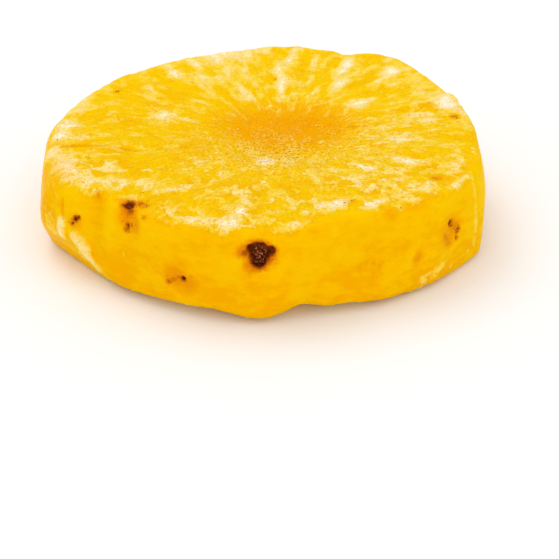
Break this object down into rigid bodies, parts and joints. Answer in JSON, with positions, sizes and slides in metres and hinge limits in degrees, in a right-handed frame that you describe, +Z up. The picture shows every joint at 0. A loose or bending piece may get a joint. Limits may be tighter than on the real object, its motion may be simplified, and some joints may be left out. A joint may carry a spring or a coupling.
{
  "type": "candied pineapple slice",
  "caption": "Thick round slice of candied pineapple with a sunken core, radial fibres, a knife-cut lobed wall and small eye pits, lying flat.",
  "frame": {"origin": "middle of the slice's box, on the surface that it lies on", "axes": "+Z up out of the dished top face, +Y towards the side that is far from the viewer, +X to the viewer's right"},
  "size_m": [0.0908, 0.0912, 0.0197],
  "materials": {
    "candied_flesh": "glossy translucent golden yellow candied fruit, dusted with dry sugar on the cut face"
  },
  "bodies": {
    "root": {"pineapple_slice": "candied_flesh"}
  },
  "joints": []
}
